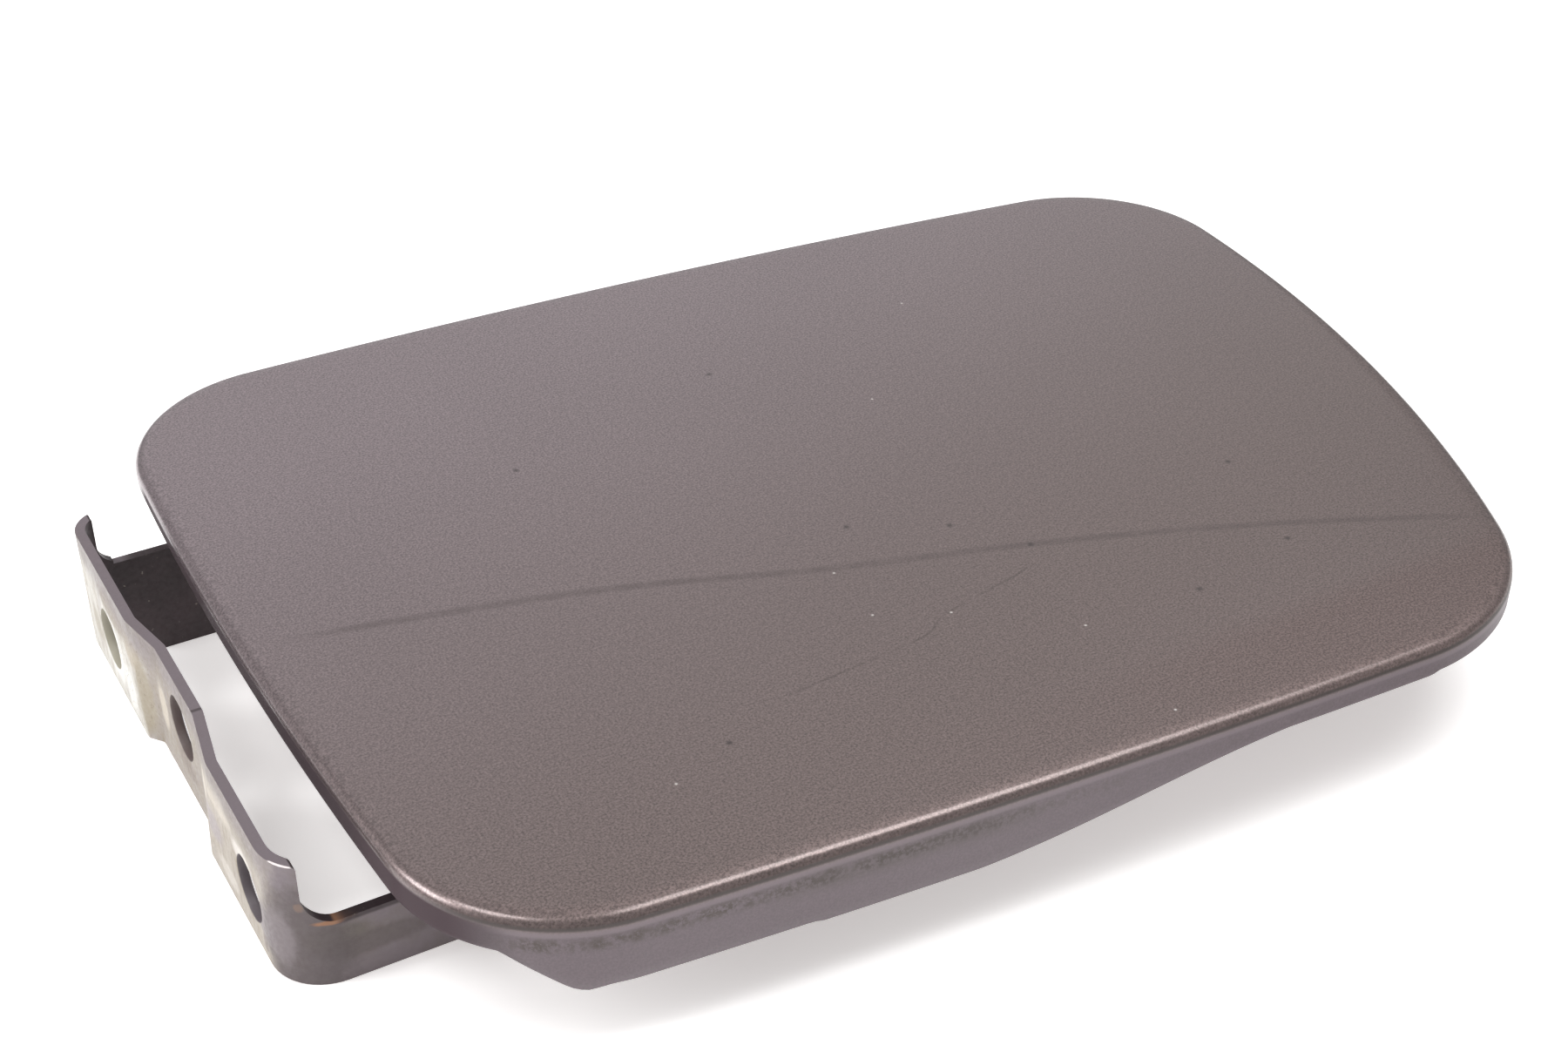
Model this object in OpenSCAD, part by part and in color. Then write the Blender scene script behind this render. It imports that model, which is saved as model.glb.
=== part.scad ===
// Fuel filler flap of a passenger car, taken off the car with its hinge strap.
// The origin is midway between the two hinge bolt holes, on the strap's mounting face.
// X runs along the arms towards the latch, Y along the leg, Z out of the lid's painted face.

/* [Lid outline] */
// X of the front left corner's centre
front_left_x = 35.5; // [30:0.5:45]
// Y of the front left corner's centre
front_left_y = -45.5; // [-55:0.5:-43]
// X of the front right corner's centre
front_right_x = 143; // [130:0.5:160]
// Y of the front right corner's centre
front_right_y = -45; // [-55:0.5:-43]
// X of the back right corner's centre
back_right_x = 167; // [155:0.5:180]
// Y of the back right corner's centre
back_right_y = 34.5; // [30:0.5:45]
// X of the back left corner's centre
back_left_x = 34; // [28:0.5:45]
// Y of the back left corner's centre
back_left_y = 44.5; // [40:0.5:55]
// Outline radius at the front left corner
front_left_r = 24; // [20:0.5:32]
// Outline radius at the front right corner
front_right_r = 30.5; // [24:0.5:36]
// Outline radius at the back right corner
back_right_r = 24.5; // [20:0.5:32]
// Outline radius at the back left corner
back_left_r = 23; // [20:0.5:30]
// Radius of the bowed front edge
front_edge_r = 1600; // [600:10:3000]
// Radius of the bowed right edge
right_edge_r = 235; // [180:5:600]
// Radius of the bowed back edge
back_edge_r = 1120; // [600:10:3000]
// Radius of the bowed left edge
left_edge_r = 740; // [400:10:2000]

/* [Skin] */
// Height of the painted face above the bolt line
skin_top = 14.1; // [12:0.1:18]
// Sheet thickness of the skin
skin_t = 0.8; // [0.6:0.05:1.2]
// Outer radius of the fold round the lid's edge
fold_r = 1.5; // [1.3:0.1:2.2]
// Radius of the soft roll between the flat face and the fold
roll_r = 10; // [6:0.5:16]
// Angle that the soft roll turns through
roll_angle = 12; // [5:1:20]
// Flange's lower edge at the front left corner, above the bolt line
flange_front_left = 8.8; // [7:0.1:10]
// Flange's lower edge at the back left corner
flange_back_left = 10.8; // [9:0.1:11]
// Flange's lower edge along the right side
flange_right = 9.7; // [8:0.1:11]
// X where the front skirt starts to drop
skirt_start = 18.5; // [14:0.5:22]
// X of the skirt's lowest corner
skirt_toe = 26.5; // [24:0.5:32]
// Half the width of that rounded corner
skirt_toe_w = 1.5; // [1:0.1:2]
// How far that corner hangs below the skirt's edge
skirt_toe_drop = 0.6; // [0.2:0.1:1]
// Height of the skirt's lower edge above the bolt line
skirt_z = 4; // [3:0.1:6]
// X of the small step in the skirt's lower edge
skirt_step_x = 55; // [45:0.5:65]
// Height of that small step
skirt_step = 0.3; // [0.1:0.1:0.6]
// Length of that small step
skirt_step_run = 1; // [0.5:0.1:2]
// X where the skirt's lower edge starts to rise
skirt_rise = 76; // [70:0.5:85]
// X where the rise ends
skirt_end = 120; // [105:0.5:126]
// Height of the lower edge from there to the front right corner
skirt_end_z = 9.35; // [8:0.05:11]

/* [Inner panel] */
// Sheet thickness of the inner panel
panel_t = 0.8; // [0.6:0.05:1.2]
// Distance from the lid's outline to the panel's bonded rim
rim_inset = 3.6; // [3.4:0.1:4.5]
// Width of the bonded rim
rim_w = 4.4; // [3.5:0.1:6]
// Run of the panel's sloping wall
wall_run = 4.5; // [3:0.1:5.5]
// Inside bend radius of the panel
panel_bend_r = 1.6; // [1:0.1:2]
// Width of each stiffening bead at its foot
bead_w = 12; // [10:0.5:15]
// Height of each stiffening bead
bead_h = 2.5; // [1.5:0.1:3]
// Distance from the strap's middle line to each bead's
bead_off = 15; // [11:0.5:18]
// Diameter of each drain hole
drain_d = 8; // [5:0.5:10]

/* [Hinge strap] */
// Sheet thickness of the strap
strap_t = 1.4; // [1.2:0.1:1.8]
// Distance between the two bolt holes
bolt_pitch = 58; // [52:0.5:60]
// Diameter of each bolt hole
bolt_hole_d = 8.5; // [6.5:0.1:9.5]
// Diameter of the middle hole
middle_hole_d = 8.8; // [7:0.1:9.5]
// Distance along Y from the bolts' middle to the middle hole
middle_hole_y = 1.2; // [0:0.1:2.4]
// Height of the middle hole above the bolt line
middle_hole_z = 2.9; // [1:0.1:4]
// Height of the leg's top edge above the bolt line
leg_top = 10.8; // [9:0.1:11.5]
// Depth of the leg's bottom edge below the bolt line
leg_bottom = 7.5; // [6:0.1:9]
// How far the middle of the leg is set in
joggle = 1.6; // [0.8:0.1:2]
// Y where the leg starts to step in, on the far side
far_step_y = 16; // [14.5:0.1:20]
// Length of the far step
far_step_run = 5.6; // [4:0.1:7]
// Y where the leg's middle ends, on the near side
near_step_y = -6.4; // [-8:0.1:-5.6]
// Length of the near step
near_step_run = 8.1; // [5:0.1:9]
// Inside bend radius of the steps
step_bend_r = 2; // [1:0.1:3]
// Y of the near arm's outer face
near_arm_y = -41.8; // [-44:0.1:-40]
// Y of the far arm's outer face
far_arm_y = 44.9; // [43:0.1:47]
// Outer radius of the bend between leg and near arm
near_bend_r = 7.2; // [5:0.1:8]
// Outer radius of the bend between leg and far arm
far_bend_r = 5; // [4.5:0.1:8]
// X where the ears of the leg end on the bends
ear_end = 3; // [2:0.1:4]
// Height of the arms' top edge above the bolt line
arm_top = 2.2; // [1.5:0.1:3.2]
// Radius between each ear and the arm's top edge
ear_fillet_r = 3.8; // [2:0.1:5]
// Radius of each ear's top corner
ear_tip_r = 0.4; // [0.2:0.1:2]
// Depth of the far arm's lower edge below the bolt line
far_arm_bottom = 14.5; // [10:0.1:16]
// X where the arms' lower edges start to rise
arm_taper_x = 60; // [50:0.5:70]
// X where both arms end
arm_end_x = 96; // [85:0.5:105]
// Height of each arm at its end
arm_end_h = 6; // [5:0.1:8]
// X where each welded foot starts
foot_x = 46; // [36:0.5:55]
// Reach of each foot from its arm's outer face
foot_w = 18; // [12:0.5:20]
// Inside bend radius between arm and foot
foot_bend_r = 1.6; // [1:0.1:2.5]
// Width of the relief notch in front of each foot
foot_notch = 2; // [1.5:0.1:4]
// Radius of each foot's free corners
foot_corner_r = 4; // [2:0.5:6]

/* [Latch catch] */
// Sheet thickness of the catch
catch_t = 2; // [1.5:0.1:2.5]
// Y of the catch's middle
catch_y = 5; // [-5:0.5:12]
// Width of the catch's base and tongue
catch_w = 20; // [16:0.5:26]
// Length of the catch's base
catch_base = 24; // [20:0.5:28]
// Distance from the lid's right edge to the tongue's face
catch_inset = 17; // [15:0.5:24]
// Drop of the tongue below the panel
catch_drop = 13.4; // [12:0.1:18]
// Width of the latch window in the tongue
window_w = 11; // [8:0.5:13]
// Height of the latch window
window_h = 5; // [4.5:0.1:6]
// Metal left under the latch window
window_sill = 2.6; // [2:0.1:4]
// Inside bend radius of the catch
catch_bend_r = 2; // [1:0.1:3]
// Radius of the tongue's lower corners
tongue_corner_r = 3; // [1.5:0.5:4]
// Shank diameter of each rivet
rivet_d = 4; // [3:0.1:5]
// Head diameter of each rivet
rivet_head_d = 7.6; // [6.5:0.1:8.4]
// Head height of each rivet
rivet_head_h = 1.4; // [1:0.1:2]
// Distance between the two rivets
rivet_pitch = 11; // [9.5:0.1:12]

/* [Buffers and pads] */
// Diameter of each rubber buffer
buffer_d = 12; // [9:0.5:15]
// Height of each buffer below the panel
buffer_h = 5; // [3:0.1:7]
// Diameter of the buffer's neck in the panel
buffer_neck_d = 5; // [4:0.1:6]
// Height of the buffer's barb above the panel
buffer_barb_h = 4; // [3:0.1:5]
// Diameter of the barb where it is widest
buffer_barb_d = 7.5; // [6.5:0.1:9]
// Radius of the buffer's rounded end
buffer_round_r = 1.5; // [0.5:0.1:2.5]
// Length of each foam pad between panel and skin
pad_l = 70; // [40:1:80]
// Width of each foam pad
pad_w = 12; // [8:0.5:14]
// Distance from each foam pad to the bead beside it
pad_gap = 4; // [2:0.5:8]

/* [Fits] */
// Clearance round a rivet's shank and a buffer's neck
hole_fit = 0.1; // [0.05:0.05:0.2]

/* [Hidden] */
$fn = 48;
far = 300;
cut = 1;

corners = [[front_left_x, front_left_y], [front_right_x, front_right_y],
           [back_right_x, back_right_y], [back_left_x, back_left_y]];
corner_r = [front_left_r, front_right_r, back_right_r, back_left_r];
edge_r = [front_edge_r, right_edge_r, back_edge_r, left_edge_r];

function square_to(v) = [-v[1], v[0]];
function heading(v) = atan2(v[1], v[0]);
function turn(a, b) = (b - a + 720) % 360;

// Centre of the bowed edge that touches the corner circles a and b from outside
function edge_centre(a, b, ra, rb, re) =
    let (l = norm(b - a), u = (b - a) / l, p = re - ra, q = re - rb)
    let (x = (p * p - q * q + l * l) / (2 * l))
    a + u * x + square_to(u) * sqrt(p * p - x * x);

edges = [for (i = [0:3]) edge_centre(corners[i], corners[(i + 1) % 4],
                                     corner_r[i], corner_r[(i + 1) % 4], edge_r[i])];

function arc_between(c, r, from, to) = [c, r, heading(from), turn(heading(from), heading(to))];
function corner_arc(i) = arc_between(corners[i], corner_r[i],
                                     corners[i] - edges[(i + 3) % 4], corners[i] - edges[i]);
function edge_arc(i) = arc_between(edges[i], edge_r[i],
                                   corners[i] - edges[i], corners[(i + 1) % 4] - edges[i]);

// The outline counter-clockwise: each arc is its centre, radius, start angle and sweep
outline = [for (i = [0:3]) each [corner_arc(i), edge_arc(i)]];
lid_right = edges[1][0] + edge_r[1];

function polar(r, a) = r * [cos(a), sin(a)];

// Places round the outline, each an arc's centre, its radius and an angle on it
corner_steps = 10;
edge_steps = 6;
places = [for (i = [0:7]) let (arc = outline[i], n = i % 2 == 0 ? corner_steps : edge_steps)
          for (k = [0:n - 1]) [arc[0], arc[1], arc[2] + arc[3] * k / n]];

// Both sides of a bent sheet: the path is its left face, and the right face lies t to the right
bend_steps = 3;
function bend_side(a, b, c, r, t, side) =
    let (h = heading(b - a), swing = (heading(c - b) - h + 540) % 360 - 180, s = sign(swing))
    let (r_left = s > 0 ? r : r + t, back = r_left * tan(abs(swing) / 2))
    let (centre = b - polar(back, h) + s * polar(r_left, h + 90), rr = r_left + s * side * t)
    [for (k = [0:bend_steps]) centre - s * polar(rr, h + swing * k / bend_steps + 90)];
function sheet_side(path, r, t, side) = let (n = len(path) - 1) concat(
    [path[0] + polar(side * t, heading(path[1] - path[0]) - 90)],
    [for (i = [1:n - 1]) each bend_side(path[i - 1], path[i], path[i + 1], r, t, side)],
    [path[n] + polar(side * t, heading(path[n] - path[n - 1]) - 90)]);
function reversed(list) = [for (i = [len(list) - 1:-1:0]) list[i]];
function sheet_section(path, r, t) = concat(sheet_side(path, r, t, 0),
                                            reversed(sheet_side(path, r, t, 1)));

// A sheet shell that follows the outline. The section starts in the flat middle of its upper face
// and ends in the middle of its lower face: x is measured outwards from the outline, y is Z
module shell(section) {
    n = len(places);
    last = len(section) - 1;
    points = [for (s = section) for (p = places) concat(p[0] + polar(p[1] + s[0], p[2]), s[1])];
    sides = [for (j = [0:last - 1]) for (i = [0:n - 1])
             let (k = (i + 1) % n, a = j * n + i, b = j * n + k, c = b + n, d = a + n)
             each [[a, b, c], [a, c, d]]];
    upper = [for (i = [n - 1:-1:0]) i];
    lower = [for (i = [0:n - 1]) last * n + i];
    polyhedron(points, concat([upper], sides, [lower]));
}

// Stands an outline drawn in X and Z up between two values of Y
module along_y(from, to) {
    translate([0, to, 0])
        rotate([90, 0, 0])
        linear_extrude(to - from)
        children();
}

// Stands an outline drawn in Y and Z up between two values of X
module along_x(from, to) {
    translate([from, 0, 0])
        rotate([90, 0, 90])
        linear_extrude(to - from)
        children();
}

// Skin: the flat face, the soft roll, the fold and the flange
bend_x = -fold_r;
bend_z = skin_top - roll_r * (1 - cos(roll_angle)) - fold_r * cos(roll_angle);
roll_x = bend_x - (roll_r - fold_r) * sin(roll_angle);
roll_z = skin_top - roll_r;
skin_under = skin_top - skin_t;
skin_bottom = skirt_z - skirt_toe_drop - cut;
band_w = 3;

// One side of the skin's section, from the flat face to the flange's edge, set in by depth
roll_steps = 2;
fold_steps = 6;
function skin_side(depth, bottom) = concat(
    [[roll_x - band_w, skin_top - depth]],
    [for (i = [0:roll_steps])
     [roll_x, roll_z] + polar(roll_r - depth, 90 - roll_angle * i / roll_steps)],
    [for (i = [1:fold_steps])
     [bend_x, bend_z] + polar(fold_r - depth, (90 - roll_angle) * (1 - i / fold_steps))],
    [[-depth, bottom]]);

// The skirt's lower edge in X and Z, from the left to the right
skirt_edge = [[skirt_start, flange_front_left], [skirt_toe - skirt_toe_w, skirt_z],
              [skirt_toe, skirt_z - skirt_toe_drop], [skirt_toe + 2 * skirt_toe_w, skirt_z],
              [skirt_step_x - skirt_step_run, skirt_z], [skirt_step_x, skirt_z - skirt_step]];
rise_steps = 8;
function eased(k) = (k + (1 - cos(180 * k)) / 2) / 2;
skirt_rising = [for (i = [0:rise_steps]) [skirt_rise + (skirt_end - skirt_rise) * i / rise_steps,
                skirt_z - skirt_step + (skirt_end_z - skirt_z + skirt_step) * eased(i / rise_steps)]];

module below_lower_edge() {
    along_y(-far, front_left_y)
        polygon(concat([[-far, -far], [-far, flange_front_left]], skirt_edge, skirt_rising,
                       [[front_right_x, skirt_end_z], [front_right_x + skirt_step_run, flange_right],
                        [far, flange_right], [far, -far]]));
    along_x(-far, front_left_x)
        polygon([[front_left_y, -far], [front_left_y, flange_front_left],
                 [back_left_y, flange_back_left], [back_left_y, -far]]);
    along_x(front_left_x, far)
        polygon([[front_left_y, -far], [front_left_y, flange_right],
                 [back_left_y, flange_right], [back_left_y, -far]]);
    along_y(back_left_y, far)
        polygon([[-far, -far], [-far, flange_back_left], [back_left_x, flange_back_left],
                 [back_right_x, flange_right], [far, flange_right], [far, -far]]);
}

module outer_skin() {
    color([0.38, 0.34, 0.35])
    difference() {
        shell(concat(skin_side(0, skin_bottom), reversed(skin_side(skin_t, skin_bottom))));
        below_lower_edge();
    }
}

// Inner panel: a bonded rim, a sloping wall and a floor that lies on the strap's arms
floor_under = arm_top;
floor_top = floor_under + panel_t;
floor_inset = rim_inset + rim_w + wall_run;
panel_path = [[-floor_inset - band_w, floor_top], [-floor_inset, floor_top],
              [-rim_inset - rim_w, skin_under], [-rim_inset, skin_under]];
strap_mid_y = (near_arm_y + far_arm_y) / 2;
bead_from = foot_x - 2;
bead_to = lid_right - catch_inset - catch_base - bead_w;
drain_x = (arm_end_x + bead_to) / 2;

// A bead with walls at 45 degrees: its outside is wall thick, its inside is cut deep below it
module bead(wall, deep) {
    h = bead_h + wall;
    r = bead_w / 2 - sqrt(2) * (panel_t - wall);
    along_x(bead_from, bead_to)
        polygon([[-r - deep, -deep], [r + deep, -deep], [r - h, h], [h - r, h]]);
    for (x = [bead_from, bead_to])
        translate([x, 0, -deep])
            cylinder(h = h + deep, r1 = r + deep, r2 = r - h);
}

module at_beads() {
    for (side = [-1, 1])
        translate([0, strap_mid_y + side * bead_off, floor_under])
            children();
}

module at_rivet(side) {
    translate([lid_right - catch_inset - catch_base / 2 - catch_bend_r,
               catch_y + side * rivet_pitch / 2, floor_under])
        children();
}

module at_buffer(corner) {
    translate([corner[0], corner[1], floor_under])
        children();
}

module inner_panel() {
    color([0.33, 0.30, 0.31])
    difference() {
        union() {
            shell(sheet_section(panel_path, panel_bend_r, panel_t));
            at_beads() bead(panel_t, 0);
        }
        at_beads() bead(0, cut);
        for (side = [-1, 1]) {
            at_rivet(side)
                translate([0, 0, -cut])
                cylinder(h = panel_t + 2 * cut, d = rivet_d + 2 * hole_fit);
            translate([drain_x, strap_mid_y + side * (bead_off + bead_w), floor_under - cut])
                cylinder(h = panel_t + 2 * cut, d = drain_d);
        }
        for (corner = [corners[1], corners[2]])
            at_buffer(corner)
                translate([0, 0, -cut])
                cylinder(h = panel_t + 2 * cut, d = buffer_neck_d + 2 * hole_fit);
    }
}

// Hinge strap: one strip bent to a U, its leg drilled, its arms ending in welded feet
leg_from = near_arm_y + near_bend_r;
leg_to = far_arm_y - far_bend_r;
leg_path = [[0, leg_from], [0, near_step_y - near_step_run], [joggle, near_step_y],
            [joggle, far_step_y - far_step_run], [0, far_step_y], [0, leg_to]];

// The region outside a rounded corner whose material lies towards -x and -y
module outside_corner(r) {
    translate([-r, -r])
        difference() {
            square(r + cut);
            circle(r);
        }
}

module leg() {
    difference() {
        translate([0, 0, -leg_bottom])
            linear_extrude(leg_bottom + leg_top)
            polygon(sheet_section(leg_path, step_bend_r, strap_t));
        for (y = [-bolt_pitch / 2, bolt_pitch / 2])
            translate([-cut, y, 0])
                rotate([0, 90, 0])
                cylinder(h = strap_t + 2 * cut, d = bolt_hole_d);
        translate([joggle - cut, middle_hole_y, middle_hole_z])
            rotate([0, 90, 0])
            cylinder(h = strap_t + 2 * cut, d = middle_hole_d);
    }
}

// What the press cuts away over an arm, in X and Z: the ear's end, its fillet and its tip
module over_arm() {
    corner = ear_end + ear_fillet_r;
    translate([corner, arm_top])
        square([far, far]);
    translate([ear_end, arm_top + ear_fillet_r])
        square([far, far]);
    translate([corner, arm_top + ear_fillet_r])
        circle(ear_fillet_r);
    translate([ear_end, leg_top])
        outside_corner(ear_tip_r);
}

// What it cuts away under an arm, down to where the arm's own lower edge runs
module under_arm(bottom) {
    drop = bottom - leg_bottom;
    end_z = arm_top - arm_end_h;
    polygon([[-far, -far], [-far, -leg_bottom], each (drop > 0 ? [[ear_end, -leg_bottom]] : []),
             [ear_end + drop, -bottom], [arm_taper_x, -bottom], [arm_end_x, end_z],
             [far, end_z], [far, -far]]);
}

// One arm with its bend and foot: its outer face is at Y = 0 and it looks towards +Y
module arm(bottom, bend_r) {
    notch_z = arm_top - foot_bend_r - strap_t - foot_notch / 2;
    foot_path = [[0, -bottom], [0, arm_top], [foot_w, arm_top]];
    difference() {
        union() {
            translate([bend_r, bend_r, -bottom])
                rotate(180)
                rotate_extrude(angle = 90)
                translate([bend_r - strap_t, 0])
                square([strap_t, bottom + leg_top]);
            translate([bend_r, 0, -bottom])
                cube([foot_x - foot_notch - bend_r, strap_t, bottom + arm_top]);
            translate([foot_x - foot_notch, 0, -bottom])
                cube([foot_notch, strap_t, bottom + notch_z]);
            along_x(foot_x, arm_end_x)
                polygon(sheet_section(foot_path, foot_bend_r, strap_t));
        }
        along_y(-cut, bend_r + cut) over_arm();
        along_y(-cut, bend_r + cut) under_arm(bottom);
        for (end = [0, 1])
            translate([end * (foot_x + arm_end_x), 0, 0])
                mirror([end, 0, 0])
                translate([arm_end_x, foot_w, arm_top - strap_t - cut])
                linear_extrude(strap_t + 2 * cut)
                outside_corner(foot_corner_r);
    }
}

module hinge_strap() {
    color([0.72, 0.69, 0.62]) {
        leg();
        translate([0, near_arm_y, 0])
            arm(leg_bottom, near_bend_r);
        translate([0, far_arm_y, 0])
            mirror([0, 1, 0])
            arm(far_arm_bottom, far_bend_r);
    }
}

// Latch catch: an angle whose tongue has the window that the latch bolt enters
tongue_x = lid_right - catch_inset;
tongue_end = floor_under - catch_drop;
catch_path = [[tongue_x - catch_base, floor_under], [tongue_x, floor_under],
              [tongue_x, tongue_end]];

module latch_catch() {
    color([0.62, 0.62, 0.58])
    difference() {
        along_y(catch_y - catch_w / 2, catch_y + catch_w / 2)
            polygon(sheet_section(catch_path, catch_bend_r, catch_t));
        along_x(tongue_x - catch_t - cut, tongue_x + cut)
            translate([catch_y - window_w / 2, tongue_end + window_sill])
            square([window_w, window_h]);
        along_x(tongue_x - catch_t - cut, tongue_x + cut)
            for (side = [0, 1])
                translate([catch_y, tongue_end])
                    mirror([side, 0])
                    translate([catch_w / 2, 0])
                    mirror([0, 1])
                    outside_corner(tongue_corner_r);
        for (side = [-1, 1])
            at_rivet(side)
                translate([0, 0, -catch_t - cut])
                cylinder(h = catch_t + 2 * cut, d = rivet_d + 2 * hole_fit);
    }
}

// Rivet: a domed head under the catch, a shank through both sheets and a set tail above
module rivet() {
    dome_r = (rivet_head_d * rivet_head_d / 4 + rivet_head_h * rivet_head_h) / (2 * rivet_head_h);
    tail_d = (rivet_d + rivet_head_d) / 2;
    color([0.75, 0.75, 0.77]) {
        translate([0, 0, -catch_t])
            cylinder(h = catch_t + panel_t, d = rivet_d);
        translate([0, 0, panel_t])
            cylinder(h = rivet_head_h, d1 = tail_d, d2 = rivet_d);
        intersection() {
            translate([0, 0, dome_r - catch_t - rivet_head_h])
                sphere(dome_r, $fn = 96);
            translate([0, 0, -catch_t - rivet_head_h])
                cylinder(h = rivet_head_h, d = rivet_head_d + cut);
        }
    }
}

module catch_rivet_near() {
    at_rivet(-1) rivet();
}

module catch_rivet_far() {
    at_rivet(1) rivet();
}

// Rubber buffer: a round head under the floor, a neck in its hole and a barb above
module buffer() {
    neck_r = buffer_neck_d / 2;
    color([0.10, 0.10, 0.11]) {
        rotate_extrude() {
            translate([0, -buffer_h])
                square([buffer_d / 2 - buffer_round_r, buffer_h]);
            translate([0, buffer_round_r - buffer_h])
                square([buffer_d / 2, buffer_h - buffer_round_r]);
            translate([buffer_d / 2 - buffer_round_r, buffer_round_r - buffer_h])
                intersection() {
                    circle(buffer_round_r);
                    translate([0, -buffer_round_r])
                        square(buffer_round_r);
                }
        }
        cylinder(h = panel_t, r = neck_r);
        translate([0, 0, panel_t])
            cylinder(h = buffer_barb_h, d1 = buffer_barb_d, r2 = neck_r / 2);
    }
}

module buffer_near() {
    at_buffer(corners[1]) buffer();
}

module buffer_far() {
    at_buffer(corners[2]) buffer();
}

// Foam pad that keeps the skin from drumming, held between the panel's floor and the skin
module foam_pad(side) {
    pad_off = bead_off + (bead_w + pad_w) / 2 + pad_gap;
    color([0.22, 0.22, 0.22])
    translate([(foot_x + arm_end_x - pad_l) / 2, strap_mid_y + side * pad_off - pad_w / 2, floor_top])
        cube([pad_l, pad_w, skin_under - floor_top]);
}

module foam_pad_near() {
    foam_pad(-1);
}

module foam_pad_far() {
    foam_pad(1);
}

outer_skin();
inner_panel();
hinge_strap();
latch_catch();
catch_rivet_near();
catch_rivet_far();
buffer_near();
buffer_far();
foam_pad_near();
foam_pad_far();
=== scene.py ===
# %% [markdown]
# # A fuel filler flap, finished in Blender
# The flap is the small painted door over a car's fuel filler. It has been taken off the car with the
# strap that carries it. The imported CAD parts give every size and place, and Blender gives the looks.
# The parts load first. They are a fixed frame, so nothing below moves or reshapes them.

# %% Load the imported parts
import math

import bmesh
import bpy
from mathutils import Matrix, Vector
from mathutils.geometry import normal as plane_normal


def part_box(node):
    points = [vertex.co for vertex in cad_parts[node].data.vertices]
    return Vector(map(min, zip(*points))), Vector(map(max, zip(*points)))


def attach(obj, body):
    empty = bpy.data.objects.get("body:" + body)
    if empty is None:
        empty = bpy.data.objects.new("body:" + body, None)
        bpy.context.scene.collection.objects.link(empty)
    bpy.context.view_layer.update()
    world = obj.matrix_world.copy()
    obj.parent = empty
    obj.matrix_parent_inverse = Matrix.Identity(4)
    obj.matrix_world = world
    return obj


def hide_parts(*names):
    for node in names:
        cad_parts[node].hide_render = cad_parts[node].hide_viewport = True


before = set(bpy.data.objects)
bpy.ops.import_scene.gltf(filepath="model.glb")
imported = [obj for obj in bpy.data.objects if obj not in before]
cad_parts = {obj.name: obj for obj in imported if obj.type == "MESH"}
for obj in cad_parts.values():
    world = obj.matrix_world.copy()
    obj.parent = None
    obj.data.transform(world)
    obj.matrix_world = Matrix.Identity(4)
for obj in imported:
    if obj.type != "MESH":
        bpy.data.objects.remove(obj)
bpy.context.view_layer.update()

MM = 0.001
# Places closer than this, in mm, count as one
TOUCH = 0.01
bpy.ops.object.select_all(action="DESELECT")

# %% [markdown]
# ## Camera
# The photograph was solved for its camera from the strap: two equal bolt holes, two parallel arms and
# edges that are level or upright. That gave one place, one direction and one focal length, which are
# typed here as they came out. The camera comes first, because every finish is judged through it.

# %% Camera
CAMERA_PLACE = Vector((-48.6, -245.5, 193.1)) * MM
LOOKS_DOWN = math.radians(33.48)
TURNS_TO_LATCH = math.radians(29.46)
FOCAL_LENGTH = 54.35
FILM_WIDTH = 36
NEAREST_SEEN = 10

bpy.ops.object.camera_add(location=CAMERA_PLACE, rotation=(math.pi / 2 - LOOKS_DOWN, 0, -TURNS_TO_LATCH))
camera = bpy.context.object
camera.name = "camera"
camera.data.lens = FOCAL_LENGTH
camera.data.sensor_width = FILM_WIDTH
camera.data.clip_start = NEAREST_SEEN * MM
bpy.context.scene.camera = camera
print("camera height over the bolt line in mm:", round(camera.location.z / MM))

# %% [markdown]
# ## Painted skin
# The real skin is one pressing. Its face is flat, a soft roll leads to a tight fold, and the edge
# stands down all round as a short flange that grows to a deep skirt along the front. The outline has
# four corner arcs and four slightly bowed edges, which touch each other without a kink. Such a shell
# could be a subdivided cage, but its outline would wander. So the section is drawn once, point by
# point, and spun about the centre of each arc in turn, as a spinning tool would roll the edge.

# %% The outline's arcs
# Each corner is the X and Y of its centre and its radius, from the front left one counter-clockwise
CORNERS = [(35.5, -45.5, 24), (143, -45, 30.5), (167, 34.5, 24.5), (34, 44.5, 23)]
EDGE_RADII = [1600, 235, 1120, 740]
CORNER_STEPS = 40
EDGE_STEP = 1.1


def bowed_edge_centre(a, b, edge_r):
    """Centre of the long arc that touches two corner circles from outside."""
    p, q = edge_r - a[2], edge_r - b[2]
    start, end = Vector(a[:2]), Vector(b[:2])
    along = (end - start).normalized()
    length = (end - start).length
    x = (p * p - q * q + length * length) / (2 * length)
    return start + along * x + Vector((-along.y, along.x)) * math.sqrt(p * p - x * x)


def arc(centre, radius, start, end, steps=None):
    """An arc that turns counter-clockwise, from the heading of one vector to that of another."""
    first = math.atan2(start.y, start.x)
    sweep = (math.atan2(end.y, end.x) - first) % math.tau
    return centre, radius, first, sweep, steps or round(radius * sweep / EDGE_STEP)


edge_centres = [bowed_edge_centre(CORNERS[i], CORNERS[(i + 1) % 4], EDGE_RADII[i]) for i in range(4)]
outline = []
for i in range(4):
    here, after = Vector(CORNERS[i][:2]), Vector(CORNERS[(i + 1) % 4][:2])
    outline.append(arc(here, CORNERS[i][2], here - edge_centres[i - 1], here - edge_centres[i], CORNER_STEPS))
    outline.append(arc(edge_centres[i], EDGE_RADII[i], here - edge_centres[i], after - edge_centres[i]))
print("arcs of the outline, steps each:", [a[4] for a in outline])

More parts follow.
